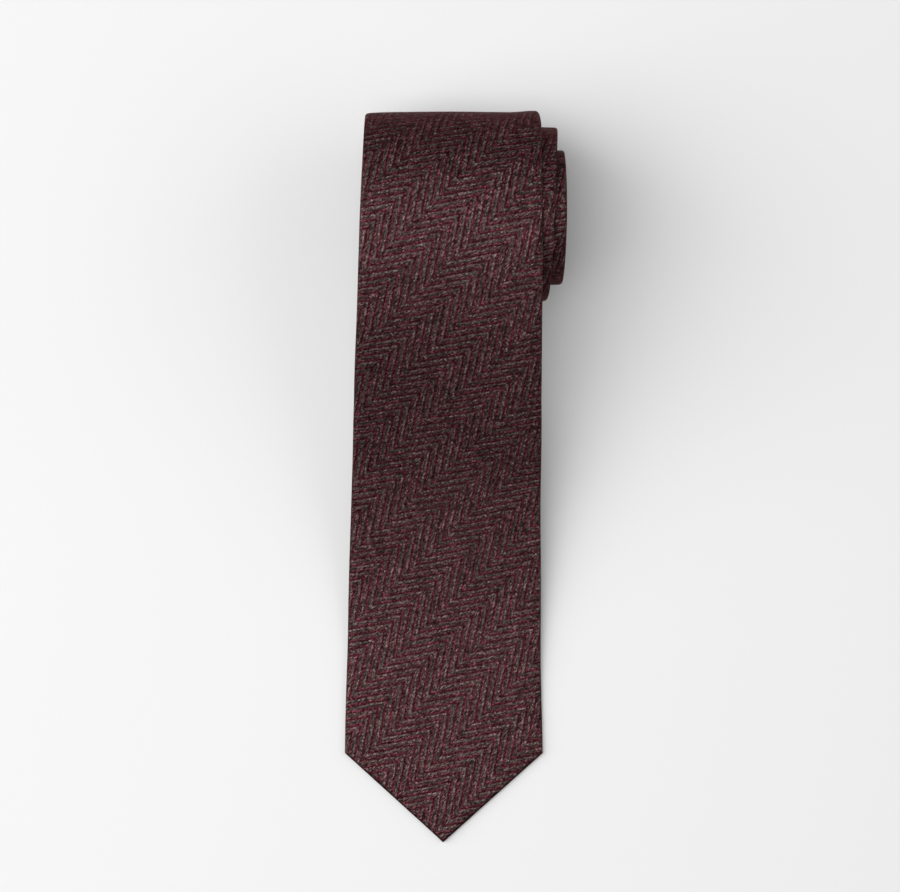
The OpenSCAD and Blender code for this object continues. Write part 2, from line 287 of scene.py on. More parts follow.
# %% Outline and centre line
BLADE_LEAN = 3.7
TURN_WALK = 24
WALK_L = 600


def half_width(s):
    """Half the width of the finished tie, s millimetres from the blade's point."""
    blade = BLADE_W - TAPER * (s - BLADE_CORNER)
    tail = NECK_W + (TAIL_W - NECK_W) * np.maximum(0, 1 - (TAIL_CORNER - s) / TAIL_FLARE)
    ends = np.minimum(s, TIE_LENGTH - s) / POINT_SHARE
    return np.minimum(np.maximum(blade, tail) / 2, ends)


def walk(s):
    """How far the tie's middle has walked to the right."""
    winding = np.sin(pi / 2 * np.clip((s - far_s) / WALK_L, 0, 1))
    return BLADE_LEAN * np.minimum(1, s / far_s) + TURN_WALK * winding


corner_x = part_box("blade_shell_lower")[0].x / MM
centre_shift = corner_x + BLADE_W / 2 - walk(BLADE_CORNER)

# %% [markdown]
# Cloth is never quite even. Where the roll is slack the tie swells and dips a little, its edges
# wander, and its folded edges are lower than its middle. A cloth simulation would give the same
# few tenths of a millimetre, but it would also slide the plies over each other, so the unevenness
# is a few long waves that all plies share.

# %% Unevenness of the cloth
CROWN = 0.3  # how far the face falls towards its folded edges
ROOM = np.array([  # how far the cloth can swell or dip, at places along the tie
    (0, 0), (30, 0.05), (70, 0.35), (130, 0.8), (200, 0.7), (240, 0.4), (crest_s, 0.25),
    (300, 0.4), (far_s, 0.2), (350, 0.3), (bottom_s, 0), (at_turn(0.75), 0.5), (at_turn(1), 0.1),
    (at_turn(1.25), 0.45), (at_turn(1.5), 0), (at_turn(1.75), 0.3), (at_turn(2), 0), (TIE_LENGTH, 0),
])


FAR_DROOP = 0.5  # how far the edges sink where the blade turns down behind the roll
RAISED_CORNER = 1.0  # how far its right corner stands up there
SLACK_BEHIND = 0.5  # how far the second turn bulges out behind
SLACK_IN_FRONT = 0.9  # and in front


def hump(s, middle, length):
    """A smooth hump along the tie, 1 high in its middle."""
    return np.exp(-(((s - middle) / length) ** 2))


def swell(x, s):
    """How far the cloth stands out from its even path."""
    waves = (
        0.45 * np.sin(2 * pi * (s / 97 + x / 190) + 0.6)
        + 0.30 * np.sin(2 * pi * (s / 143 - x / 61) + 2.1)
        + 0.20 * np.sin(2 * pi * (s / 41 + x / 47) + 4.0)
    )
    corner = RAISED_CORNER * np.clip((x - 21) / 10, 0, 1) ** 2 + 0.1 * np.cos(x / 6.4)
    droop = FAR_DROOP * np.abs(x / np.maximum(half_width(s), 1)) ** 7
    slack = SLACK_BEHIND * hump(s, at_turn(1.25), 20) + SLACK_IN_FRONT * hump(s, at_turn(1.75), 20)
    room = np.interp(s, ROOM[:, 0], ROOM[:, 1])
    height = np.interp(s, path_s, path_z) - np.where(s < far_s, STACK, 0)
    return np.maximum(room * waves + hump(s, far_s, 30) * (corner - droop) + slack, -height)


SPREAD = np.array([  # how far the left and the right edge spread outwards, at places along the tie
    (0, 0, 0), (BLADE_CORNER, 0.5, 0.2), (96, 1.2, 0), (148, 1.1, 0), (186, 0.4, 0.1),
    (208, 0.4, 0.6), (253, 0, 0.8), (crest_s, 0.1, 0.9), (far_s - 20, 0.6, 1), (far_s, 0.9, 0),
    (at_turn(0.6), 0, 0), (at_turn(1.8), 0, 0), (at_turn(2.2), 0, -0.9), (at_turn(5), 0, -1.1),
    (TIE_LENGTH, 0, 0),
])


def wander(x, s):
    """How far the cloth strays sideways, most at its edges."""
    share = np.clip(x / np.maximum(half_width(s), 1), -1, 1)
    calm = np.clip((s - BLADE_CORNER) / 40, 0, 1)
    edges = 0.22 * np.sin(s / 29 + 2.5 * np.sign(share)) + 0.14 * np.sin(s / 11.5 - np.sign(share))
    left = np.interp(s, SPREAD[:, 0], SPREAD[:, 1])
    right = np.interp(s, SPREAD[:, 0], SPREAD[:, 2])
    return calm * edges * np.abs(share) + np.where(x < 0, left, right) * share**3


def lay(mesh):
    """Carry a mesh from the flat tie, in millimetres, onto the roll, in metres."""
    co = np.empty(len(mesh.vertices) * 3)
    mesh.vertices.foreach_get("co", co)
    x, s, up = co.reshape(-1, 3).T
    share = np.clip(np.abs(x) / np.maximum(half_width(s), 1), 0, 1)
    rise = up + swell(x, s) - CROWN * share**4 * np.clip(1 + up / STACK, 0, 1)
    y = np.interp(s, path_s, path_y) + rise * np.interp(s, path_s, normal_y)
    z = np.interp(s, path_s, path_z) + rise * np.interp(s, path_s, normal_z)
    z = np.maximum(z, 0)  # stitches under the tie are pressed flat by the table
    placed = np.column_stack([x + wander(x, s) + walk(s) + centre_shift, y, z]) * MM
    mesh.vertices.foreach_set("co", placed.ravel())
    mesh.update()


# %% [markdown]
# ## Herringbone wool
#
# The shell is a broken twill in burgundy and marled grey wool. The cloth is cut on the bias, so
# its columns run at 45 degrees across the tie. In each column the ribs lean one way, and in the
# next the other way. A rib is one period of the weave: grey warp threads float over most of it,
# and burgundy weft shows in the rest.
#
# The pattern could be a picture, but then it would blur close up. Here it is worked out from the
# thread counts. The UV map holds each point's place on the flat cloth in metres, so the ribs
# follow every fold.

# %% Where a point lies in the weave
COLUMN_W = 10.55  # width of a column of ribs
ENDS = 24  # warp threads in a column
END_W = COLUMN_W / ENDS
RIB_ALONG = 4.85  # period of the ribs along a column
CUT_START = 5.0  # where in the cloth's repeat the blade was cut
RIB_SLOPE = 1.45  # how far a rib runs along the column for each millimetre across it

herringbone, wool_tree, wool = new_material("woven_herringbone_wool")
uv = add(wool_tree, "ShaderNodeUVMap")
bias = add(
    wool_tree,
    "ShaderNodeMapping",
    {
        "Vector": uv.outputs["UV"],
        "Location": (CUT_START, -CUT_START, 0),
        "Rotation": (0, 0, radians(-45)),
        "Scale": (1 / MM, 1 / MM, 1),
    },
)
# the yarns never run dead straight
STRAY = (0.32, 0.2, 0)  # how far they stray along and across a column
stray = add(
    wool_tree,
    "ShaderNodeTexNoise",
    {"Vector": bias.outputs["Vector"], "Scale": 0.25, "Detail": 2.0},
)
centred = add(
    wool_tree, "ShaderNodeVectorMath", {0: stray.outputs["Color"], 1: (0.5, 0.5, 0.5)}, operation="SUBTRACT"
)
strayed = add(
    wool_tree,
    "ShaderNodeVectorMath",
    {0: centred.outputs["Vector"], 1: STRAY, 2: bias.outputs["Vector"]},
    operation="MULTIPLY_ADD",
)
place = add(wool_tree, "ShaderNodeSeparateXYZ", {"Vector": strayed.outputs["Vector"]})
warpwise = place.outputs["X"]
weftwise = place.outputs["Y"]

# each warp thread shifts the rib by a step, and the steps turn back at every column's edge
end_start = add(wool_tree, "ShaderNodeMath", {0: weftwise, 1: END_W}, operation="SNAP")
end_number = add(wool_tree, "ShaderNodeMath", {0: end_start.outputs[0], 1: END_W}, operation="DIVIDE")
both = add(wool_tree, "ShaderNodeMath", {0: end_start.outputs[0], 1: weftwise}, operation="ADD")
stepped = add(
    wool_tree,
    "ShaderNodeMath",
    {0: both.outputs[0], 1: 0.5, 2: END_W / 4},
    operation="MULTIPLY_ADD",
)
zigzag = add(wool_tree, "ShaderNodeMath", {0: stepped.outputs[0], 1: COLUMN_W}, operation="PINGPONG")
lean = add(
    wool_tree,
    "ShaderNodeMath",
    {0: zigzag.outputs[0], 1: -RIB_SLOPE, 2: warpwise},
    operation="MULTIPLY_ADD",
)
rib = add(wool_tree, "ShaderNodeMath", {0: lean.outputs[0], 1: RIB_ALONG}, operation="DIVIDE")
along_rib = add(wool_tree, "ShaderNodeMath", {0: rib.outputs[0]}, operation="FRACT")
# painted shade: each warp thread darkens towards its sides and into the gap beside the next
from_gap = add(wool_tree, "ShaderNodeMath", {0: weftwise, 1: END_W / 2}, operation="PINGPONG")
thread_gap_shade = add(
    wool_tree, "ShaderNodeMapRange", {"Value": from_gap.outputs[0], "From Max": END_W * 0.36, "To Min": 0.4}
)

# %% [markdown]
# One rib is, in order, a dark burgundy groove where the weft shows, a wine-red thread, a shadow,
# and a grey thread that stands highest. Marled yarn is spun from fibres of several shades. So
# each float of thread takes its own shade, the brightest few carry a painted glint as if they
# caught the light, and the grey drifts between mauve and olive over a few centimetres.

# %% Colours of the yarns
GROOVE = "#4c2028"
WINE_THREAD = "#623a41"
THREAD_SHADOW = "#4a3c39"
GREY_THREAD = "#685656"
rib_ramp = add(wool_tree, "ShaderNodeValToRGB", {"Fac": along_rib.outputs[0]})
rib_ramp.color_ramp.elements[0].color = linear(GROOVE)
rib_ramp.color_ramp.elements[1].color = linear(GROOVE)
for part, hex_code in ((0.18, WINE_THREAD), (0.42, THREAD_SHADOW), (0.67, GREY_THREAD), (0.9, GROOVE)):
    rib_ramp.color_ramp.elements.new(part).color = linear(hex_code)

FLOATS = 7  # floats of thread in the length of a rib
float_phase = add(wool_tree, "ShaderNodeMath", {0: rib.outputs[0], 1: FLOATS}, operation="MULTIPLY")
float_number = add(wool_tree, "ShaderNodeMath", {0: float_phase.outputs[0]}, operation="FLOOR")
float_place = add(
    wool_tree,
    "ShaderNodeCombineXYZ",
    {"X": end_number.outputs[0], "Y": float_number.outputs[0]},
)
float_shade = add(
    wool_tree, "ShaderNodeTexWhiteNoise", {"Vector": float_place.outputs["Vector"]}, noise_dimensions="2D"
)
# each float of thread gets its own tone, and the brightest few a painted glint
float_tone_and_glint = add(wool_tree, "ShaderNodeValToRGB", {"Fac": float_shade.outputs["Value"]})
float_tone_and_glint.color_ramp.elements[0].color = (0.15, 0.15, 0.15, 1)
float_tone_and_glint.color_ramp.elements[1].color = (3.1, 3.1, 3.1, 1)
for position, grey in ((0.25, 0.5), (0.65, 1.0), (0.88, 1.55)):
    float_tone_and_glint.color_ramp.elements.new(position).color = (grey, grey, grey, 1)

fibres = add(
    wool_tree,
    "ShaderNodeTexNoise",
    {"Vector": strayed.outputs["Vector"], "Scale": 2.8, "Detail": 2.0},
)
fibre_shade = add(
    wool_tree,
    "ShaderNodeMapRange",
    {"Value": fibres.outputs["Fac"], "From Min": 0.3, "From Max": 0.7, "To Min": 0.55, "To Max": 1.5},
)
batch_place = add(
    wool_tree,
    "ShaderNodeVectorMath",
    {0: float_place.outputs["Vector"], 1: (0.07, 0.25, 0)},
    operation="MULTIPLY",
)
batch = add(
    wool_tree,
    "ShaderNodeTexNoise",
    {"Vector": batch_place.outputs["Vector"], "Scale": 1.0, "Detail": 1.0},
)
marl = add(wool_tree, "ShaderNodeValToRGB", {"Fac": batch.outputs["Fac"]})
marl.color_ramp.elements[0].position = 0.3
marl.color_ramp.elements[0].color = (0.86, 1.08, 0.98, 1)
marl.color_ramp.elements[1].position = 0.7
marl.color_ramp.elements[1].color = (1.12, 0.94, 1.02, 1)
# the fibres' own random tone, times the painted shade between threads
fibre_tone_and_gap_shade = add(
    wool_tree,
    "ShaderNodeMath",
    {0: fibre_shade.outputs["Result"], 1: thread_gap_shade.outputs["Result"]},
    operation="MULTIPLY",
)
# painted shade: the cloth is darkened where it turns round a folded edge, most along the points' slanted
# edges
edge_shade_attribute = add(wool_tree, "ShaderNodeAttribute", attribute_name="painted_edge_shade")
painted_fold_shade = add(
    wool_tree,
    "ShaderNodeMapRange",
    {"Value": edge_shade_attribute.outputs["Fac"], "To Min": 1.0, "To Max": 0.3},
)
tones_and_painted_light = (marl.outputs["Color"], float_tone_and_glint.outputs["Color"], fibre_tone_and_gap_shade.outputs[0], painted_fold_shade.outputs["Result"])
woven = rib_ramp.outputs["Color"]
for layer in tones_and_painted_light:
    mixed = add(
        wool_tree,
        "ShaderNodeMix",
        {"Factor": 1.0, 6: woven, 7: layer},
        data_type="RGBA",
        blend_type="MULTIPLY",
    )
    woven = mixed.outputs[2]
wool_tree.links.new(woven, wool.inputs["Base Color"])

# %% Relief and gloss of the wool
raised = add(
    wool_tree,
    "ShaderNodeMix",
    {"Factor": 0.25, 6: rib_ramp.outputs["Color"], 7: fibre_tone_and_gap_shade.outputs[0]},
    data_type="RGBA",
)
wool_bump = add(
    wool_tree,
    "ShaderNodeBump",
    {"Height": raised.outputs[2], "Strength": 0.7, "Distance": 0.5 * MM},
)
wool_tree.links.new(wool_bump.outputs["Normal"], wool.inputs["Normal"])
# dyed wool is translucent, so its glints take the colour of the yarn: a little metallic does that
wool.inputs["Metallic"].default_value = 0.85
wool.inputs["Roughness"].default_value = 0.46
wool.inputs["Specular IOR Level"].default_value = 0.08
wool.inputs["Specular Tint"].default_value = linear("#b29a9b")
wool.inputs["Sheen Weight"].default_value = 0.02
wool.inputs["Sheen Roughness"].default_value = 0.4
wool.inputs["Sheen Tint"].default_value = linear("#c9a0a0")

# %% [markdown]
# ## Folding the shell
#
# The shell starts as a flat grid: its columns run across the cloth and its rows along it. The
# middle columns are the face, the next few roll round the soft edge, and the outer ones fold flat
# on the back until they meet at the slit. A Solidify modifier then gives the cloth its thickness,
# inwards.
#
# The rows lie close together at the point, where the outline changes, and further apart along the
# body.

# %% Back opening and rows
HEM_W = 12
SLIT = 0.06
BLADE_OPEN_L = 150
TAIL_OPEN_L = 95


def opening(end, width, open_l):
    """Half the opening between the flaps, end millimetres from a point."""
    across = HEM_W * np.sqrt(1 + POINT_SHARE**2) / POINT_SHARE
    apex = POINT_SHARE * (across + SLIT)
    corner = POINT_SHARE * (width / 2 + across - HEM_W)
    return np.interp(end, [apex, corner, open_l], [SLIT, width / 2 - HEM_W, SLIT])


def back_gap(s):
    """Half the gap between the flaps, s millimetres from the blade's point."""
    blade_gap = opening(s, BLADE_W, BLADE_OPEN_L)
    tail_gap = opening(TIE_LENGTH - s, TAIL_W, TAIL_OPEN_L)
    return np.minimum(np.where(s < TIE_LENGTH / 2, blade_gap, tail_gap), half_width(s) * 0.9)


def rows(start, stop, step):
    """Stations from start to stop, a step apart, closer near the two points, with the outline's corners."""
    near = [0.15, 0.5, 1, 1.6, 2.4, 3.2]
    fixed = near + [BLADE_CORNER, TAIL_CORNER] + [TIE_LENGTH - e for e in near]
    pointed = list(np.arange(4, 60, 0.9)) + list(TIE_LENGTH - np.arange(4, 30, 0.9))
    body = list(np.arange(start, stop, step))
    keep = sorted(s for s in fixed + pointed + body if start + 0.2 < s < stop - 0.2)
    spaced = [start]
    for s in keep:
        if s - spaced[-1] > 0.3 or s in fixed:
            spaced.append(s)
    return np.array(spaced + [stop])


# %% Make a ply from a grid
def ply(name, stations, columns, section, thickness, material):
    """A ply of cloth. For each grid point, section(q, s) gives its place across, its depth, its
    place on the cloth and how much painted shade darkens it at a folded edge."""
    bm = bmesh.new()
    bmesh.ops.create_grid(bm, x_segments=columns, y_segments=len(stations) - 1, size=1)
    grid = np.array([v.co for v in bm.verts])
    s = stations[np.rint((grid[:, 1] + 1) / 2 * (len(stations) - 1)).astype(int)]
    x, depth, cloth_x, edge_shade = section(grid[:, 0], s)
    # each vertex keeps the strength of the painted edge shade for the wool's colour
    edge_shade_layer = bm.verts.layers.float.new("painted_edge_shade")
    for vert, place_flat, edge_darkness in zip(bm.verts, np.column_stack([x, s, -depth]), edge_shade):
        vert.co = place_flat
        vert[edge_shade_layer] = edge_darkness
    cloth_layer = bm.loops.layers.uv.new("cloth")
    for face in bm.faces:
        face.smooth = True
        for loop in face.loops:
            loop[cloth_layer].uv = (cloth_x[loop.vert.index] * MM, s[loop.vert.index] * MM)
    flat_area = sum(abs(uv_area(face, cloth_layer)) for face in bm.faces)
    bmesh.ops.remove_doubles(bm, verts=bm.verts, dist=0.01)
    mesh = bpy.data.meshes.new(name)
    bm.to_mesh(mesh)
    bm.free()
    lay(mesh)
    mesh.materials.append(material)
    piece = bpy.data.objects.new(name, mesh)
    bpy.context.scene.collection.objects.link(piece)
    wall = piece.modifiers.new("cloth_thickness", "SOLIDIFY")
    wall.thickness = thickness * MM
    wall.offset = -1
    width = (cloth_x.max() - cloth_x.min()) * MM
    cut = (width, (stations[-1] - stations[0]) * MM)
    print(f"{name}: {len(mesh.polygons)} faces, cut {cut[0] * 1000:.0f} x {cut[1] * 1000:.0f} mm")
    return piece, cut, min(flat_area, cut[0] * cut[1])


def uv_area(face, layer):
    """Area of a face on the flat cloth."""
    points = [loop[layer].uv for loop in face.loops]
    return sum(a.x * b.y - b.x * a.y for a, b in zip(points, points[1:] + points[:1])) / 2


# %% Cross section of the shell
FACE_PART = 0.46  # share of the columns on the face
FOLD_PART = 0.66  # share of the columns up to the end of the rolled edge
SHELL_COLUMNS = 56
SHELL_STEP = 1.5  # length of a row of faces along the body


def shell_section(q, s):
    """The shell's outline across: q runs from one flap's edge, -1, over the face to the other's, 1."""
    width = half_width(s)
    slanted = (s < BLADE_CORNER) | (s > TAIL_CORNER)
    nose = np.clip(np.minimum(s, TIE_LENGTH - s) / 2.4, 0, 1)
    nose = np.sqrt(1 - (1 - nose) ** 2)
    radius = STACK / 2 * np.where(slanted, np.hypot(1, 1 / POINT_SHARE), 1)
    radius = np.minimum(radius, width * 0.6)
    part = np.abs(q)
    turn = pi * np.clip((part - FACE_PART) / (FOLD_PART - FACE_PART), 0, 1)
    flap = np.clip((part - FOLD_PART) / (1 - FOLD_PART), 0, 1)
    flat = width - radius
    flap_w = flat - back_gap(s)
    x = flat * np.minimum(part / FACE_PART, 1) + radius * np.sin(turn) - flap_w * flap
    depth = STACK / 2 * (1 - nose * np.cos(turn))
    cloth = flat * np.minimum(part / FACE_PART, 1) + STACK / 2 * turn + flap_w * flap
    # painted shade along the rolled edge, strongest on the points' slanted edges
    edge_shade = np.clip(np.sin(turn), 0, 1) ** 0.8 * np.where(slanted, 1, 0.15)
    return np.sign(q) * x, depth, np.sign(q) * cloth, edge_shade


# %% [markdown]
# The blade crosses the fold where it lifts off the roll, so its first part is attached to neither
# body. It runs on to the bottom of the roll, where the join to the next part is out of sight.
# The pieces beyond ride on the roll.

# %% Shell pieces
SEAM_GAP = 0.18
NECK_SEAM = 760
TAIL_SEAM = 1010


def bend(piece):
    """Bake the piece's place into its mesh, without attaching it to a body."""
    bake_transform(piece)


def finish_ply(made, node, body=None):
    """Hide the part that a ply stands for, and attach the ply to the body it follows, or bake its place if
    it follows none.
    """
    piece, cut, area = made
    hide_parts(node)
    if body:
        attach(piece, body)
    else:
        bend(piece)


def shell(name, start, stop):
    """A length of the folded shell."""
    return ply(name, rows(start, stop, SHELL_STEP), SHELL_COLUMNS, shell_section, SHELL_T, herringbone)


tail_made = shell("tail_cloth", TAIL_SEAM + SEAM_GAP, TIE_LENGTH)
finish_ply(tail_made, "tail_shell", body="roll")
neck_made = shell("neck_cloth", NECK_SEAM + SEAM_GAP, TAIL_SEAM - SEAM_GAP)
finish_ply(neck_made, "neck_shell", "roll")
coil_made = shell("blade_cloth_rolled", bottom_s, NECK_SEAM - SEAM_GAP)
finish_ply(coil_made, "blade_shell_upper", "roll")
blade_made = shell("blade_cloth", 0, bottom_s)
finish_ply(blade_made, "blade_shell_lower")

# %% [markdown]
# ## The plies inside
#
# A soft interlining of brushed wool fills the tie and gives it body. At each end a burgundy
# satin, the tipping, covers the interlining where the back is open. Both stay a little inside the
# rolled edges.
#
# They are grids too, but without flaps. Where two lengths of interlining meet they are joined
# with white thread.

# %% Finishes of the inner plies
felted, felted_tree, felted_shader = new_material("brushed_wool_interlining")
# short fibres lie in all directions, so the surface is matt and a little mottled
felted_uv = add(felted_tree, "ShaderNodeUVMap")
felted_mm = add(
    felted_tree,
    "ShaderNodeMapping",
    {"Vector": felted_uv.outputs["UV"], "Scale": (1 / MM, 1 / MM, 1)},
)
mottle = add(
    felted_tree,
    "ShaderNodeTexNoise",
    {"Vector": felted_mm.outputs["Vector"], "Scale": 1.4, "Detail": 4.0},
)
felted_ramp = add(felted_tree, "ShaderNodeValToRGB", {"Fac": mottle.outputs["Fac"]})
felted_ramp.color_ramp.elements[0].color = linear("#bdb39f")
felted_ramp.color_ramp.elements[1].color = linear("#e6dfd0")
felted_tree.links.new(felted_ramp.outputs["Color"], felted_shader.inputs["Base Color"])
felted_bump = add(
    felted_tree,
    "ShaderNodeBump",
    {"Height": mottle.outputs["Fac"], "Strength": 0.7, "Distance": 0.2 * MM},
)
felted_tree.links.new(felted_bump.outputs["Normal"], felted_shader.inputs["Normal"])
felted_shader.inputs["Roughness"].default_value = 0.95
felted_shader.inputs["Sheen Weight"].default_value = 0.2


def ribbon(name, dark, light, pick, roughness):
    """A satin: long floats across the cloth catch the light, and a fine rib shows every pick (mm)."""
    material, tree, shader = new_material(name)
    cloth = add(tree, "ShaderNodeUVMap")
    scaled = add(
        tree, "ShaderNodeMapping", {"Vector": cloth.outputs["UV"], "Scale": (1 / MM, 1 / MM, 1)}
    )
    millimetres = scaled.outputs["Vector"]
    # one wave of the texture is pi / 10 units long
    rib_wave = add(
        tree,
        "ShaderNodeTexWave",
        {"Vector": millimetres, "Scale": pi / 10 / pick, "Distortion": 0.3, "Detail Scale": 2.0},
        bands_direction="Y",
    )
    slub = add(tree, "ShaderNodeTexNoise", {"Vector": millimetres, "Scale": 0.8, "Detail": 3.0})
    tone = add(
        tree,
        "ShaderNodeMath",
        {0: rib_wave.outputs["Fac"], 1: 0.6, 2: slub.outputs["Fac"]},
        operation="MULTIPLY_ADD",
    )
    ramp = add(tree, "ShaderNodeValToRGB", {"Fac": tone.outputs[0]})
    ramp.color_ramp.elements[0].position = 0.35
    ramp.color_ramp.elements[0].color = linear(dark)
    ramp.color_ramp.elements[1].position = 1.0
    ramp.color_ramp.elements[1].color = linear(light)
    tree.links.new(ramp.outputs["Color"], shader.inputs["Base Color"])
    pucker = add(tree, "ShaderNodeTexNoise", {"Vector": millimetres, "Scale": 0.06, "Detail": 1.0})
    waves = add(
        tree,
        "ShaderNodeBump",
        {"Height": pucker.outputs["Fac"], "Strength": 1.0, "Distance": 2 * MM},
    )
    bump = add(
        tree,
        "ShaderNodeBump",
        {
            "Height": rib_wave.outputs["Fac"],
            "Strength": 0.5,
            "Distance": 0.08 * MM,
            "Normal": waves.outputs["Normal"],
        },
    )
    tree.links.new(bump.outputs["Normal"], shader.inputs["Normal"])
    shader.inputs["Roughness"].default_value = roughness
    shader.inputs["Anisotropic"].default_value = 0.5
    shader.inputs["Sheen Weight"].default_value = 0.1
    return material


satin = ribbon("burgundy_viscose_satin", "#34090f", "#5d1522", 0.45, 0.38)
label_satin = ribbon("black_damask_ribbon", "#131214", "#2c292c", 0.5, 0.45)
tag_satin = ribbon("white_polyester_satin", "#cfccc4", "#f1efea", 0.4, 0.4)


# %% Lay the interlining and the tipping
LINING_INSET = 5
LINING_STEP = 2  # length of a row of faces
JOIN = 905
BLADE_TIPPING_L = 165
TAIL_TIPPING_L = 110
CUFF = 1.25  # room that the rolled edge takes


def inner_section(depth):
    """The section of a flat ply inside the shell."""
    def section(q, s):
        slanted = (s < BLADE_CORNER) | (s > TAIL_CORNER)
        width = np.maximum(half_width(s) - CUFF * np.where(slanted, 1.5, 1), 0.5)
        return q * width, np.full(len(q), depth), q * width, np.zeros(len(q))

    return section


def interlining(name, start, stop):
    """A length of interlining."""
    return ply(name, rows(start, stop, LINING_STEP), 16, inner_section(INTERLINING_D), INTERLINING_T, felted)


def tipping(name, start, stop):
    """The satin that lines a point."""
    return ply(name, rows(start, stop, LINING_STEP), 20, inner_section(TIPPING_D), TIPPING_T, satin)


tail_lining = interlining("tail_interlining_cloth", JOIN + SEAM_GAP, TIE_LENGTH - LINING_INSET)
finish_ply(tail_lining, "tail_interlining", "roll")
coil_lining = interlining("blade_interlining_rolled", bottom_s, JOIN - SEAM_GAP)
finish_ply(coil_lining, "blade_interlining_upper", "roll")
blade_lining = interlining("blade_interlining_cloth", LINING_INSET, bottom_s)
finish_ply(blade_lining, "blade_interlining_lower")
blade_tip = tipping("blade_tipping_cloth", LINING_INSET, BLADE_TIPPING_L)
finish_ply(blade_tip, "blade_tipping", "blade")
tail_tip = tipping("tail_tipping_cloth", TIE_LENGTH - TAIL_TIPPING_L, TIE_LENGTH - LINING_INSET)
finish_ply(tail_tip, "tail_tipping", "roll")

# %% [markdown]
# ## Keeper, label and tag
#
# On the back of the blade sits a keeper: a folded band of the tie's own cloth, which holds the
# tail when the tie is worn. Above the opening is a black woven label, and beside the keeper a
# small white tag. Both are blank here.
#
# The band arches up far enough to let the tail through, so its section is a low bridge with a
# flat tab at each end.

# %% Keeper, label and tag
EASE = 0.03
KEEPER_S = 186
KEEPER_L = 12
KEEPER_HALF = 29
KEEPER_FREE = 21.5
KEEPER_RAMP = 3.5
KEEPER_LIFT = STACK + 0.4
KEEPER_T = 0.8
KEEPER_CUT = 140  # where beside the blade its cloth was cut
LABEL_S = 157
LABEL_L = 22
LABEL_HALF = 22
TAG_S = 199
TAG_L = 17
TAG_HALF = 8
LABEL_T = 0.25
BACK = STACK + EASE  # depth of anything sewn on the back


def keeper_section(q, s):
    """The keeper's low bridge, with a flat tab at each end."""
    x = KEEPER_HALF * q
    up = np.clip((KEEPER_FREE + KEEPER_RAMP - np.abs(x)) / KEEPER_RAMP, 0, 1)
    arch = KEEPER_LIFT * up * up * (3 - 2 * up)
    return x, BACK + arch, x + KEEPER_CUT, np.zeros(len(q))


def flat_section(half):
    """The section of a ribbon that lies flat on the back."""
    def section(q, s):
        return q * half, np.full(len(q), BACK), q * half, np.zeros(len(q))

    return section


def soften(made, width):
    """Round the edges of a folded band or ribbon."""
    edge = made[0].modifiers.new("soft_edges", "BEVEL")
    edge.width = width * MM
    edge.segments = 2
    edge.limit_method = "ANGLE"
    return made


keeper_rows = np.linspace(KEEPER_S, KEEPER_S + KEEPER_L, 9)
keeper = ply("keeper_band", keeper_rows, 72, keeper_section, KEEPER_T, herringbone)
finish_ply(soften(keeper, 0.25), "keeper_loop", "blade")
label_rows = np.linspace(LABEL_S, LABEL_S + LABEL_L, 12)
label = ply("label_ribbon", label_rows, 20, flat_section(LABEL_HALF), LABEL_T, label_satin)
finish_ply(soften(label, 0.08), "woven_label", "blade")
tag_rows = np.linspace(TAG_S, TAG_S + TAG_L, 10)
tag = ply("tag_ribbon", tag_rows, 10, flat_section(TAG_HALF), LABEL_T, tag_satin)
finish_ply(soften(tag, 0.08), "care_tag", "blade")

# %% [markdown]
# ## Sewing
#
# Every stitch is a short arch of twisted thread: it comes up out of the cloth and goes down
# again. A curve with a round bevel makes the threads while the tie is flat, and the same function
# as for the cloth lays them on the roll.

# %% Thread finishes and the sewing function
def thread_finish(name, dark, light):
    """Twisted polyester thread: two plies wound round each other, with a slight gloss on each."""
    material, tree, shader = new_material(name)
    where = add(tree, "ShaderNodeTexCoord")
    grain = add(
        tree,
        "ShaderNodeTexNoise",
        {"Vector": where.outputs["Object"], "Scale": 1 / (0.25 * MM), "Detail": 2.0},
    )
    ramp = add(tree, "ShaderNodeValToRGB", {"Fac": grain.outputs["Fac"]})
    ramp.color_ramp.elements[0].position = 0.35
    ramp.color_ramp.elements[0].color = linear(dark)
    ramp.color_ramp.elements[1].position = 0.65
    ramp.color_ramp.elements[1].color = linear(light)
    tree.links.new(ramp.outputs["Color"], shader.inputs["Base Color"])
    bump = add(
        tree,
        "ShaderNodeBump",
        {"Height": grain.outputs["Fac"], "Strength": 0.5, "Distance": 0.05 * MM},
    )
    tree.links.new(bump.outputs["Normal"], shader.inputs["Normal"])
    shader.inputs["Roughness"].default_value = 0.5
    return material


burgundy_thread = thread_finish("burgundy_twisted_thread", "#3a0f19", "#6e2233")
white_thread = thread_finish("white_twisted_thread", "#cfcabf", "#f0ece2")


THREADS = {"sewing_thread": burgundy_thread, "white_thread": white_thread}
STITCH_DIP = 0.12  # how deep a stitch goes into the cloth at its ends
FINE_THREAD = 0.09  # radii of the threads
PLAIN_THREAD = 0.12
SEAM_THREAD = 0.11
TACK_THREAD = 0.17


def stitch(x0, s0, x1, s1, depth, proud):
    """One stitch: an arch between two places, standing proud of the cloth in its middle."""
    arch = STITCH_DIP + proud
    return [
        (x0 + (x1 - x0) * u, s0 + (s1 - s0) * u, depth - STITCH_DIP + arch * np.sin(pi * u) ** 0.6)
        for u in (0, 0.15, 0.5, 0.85, 1)
    ]


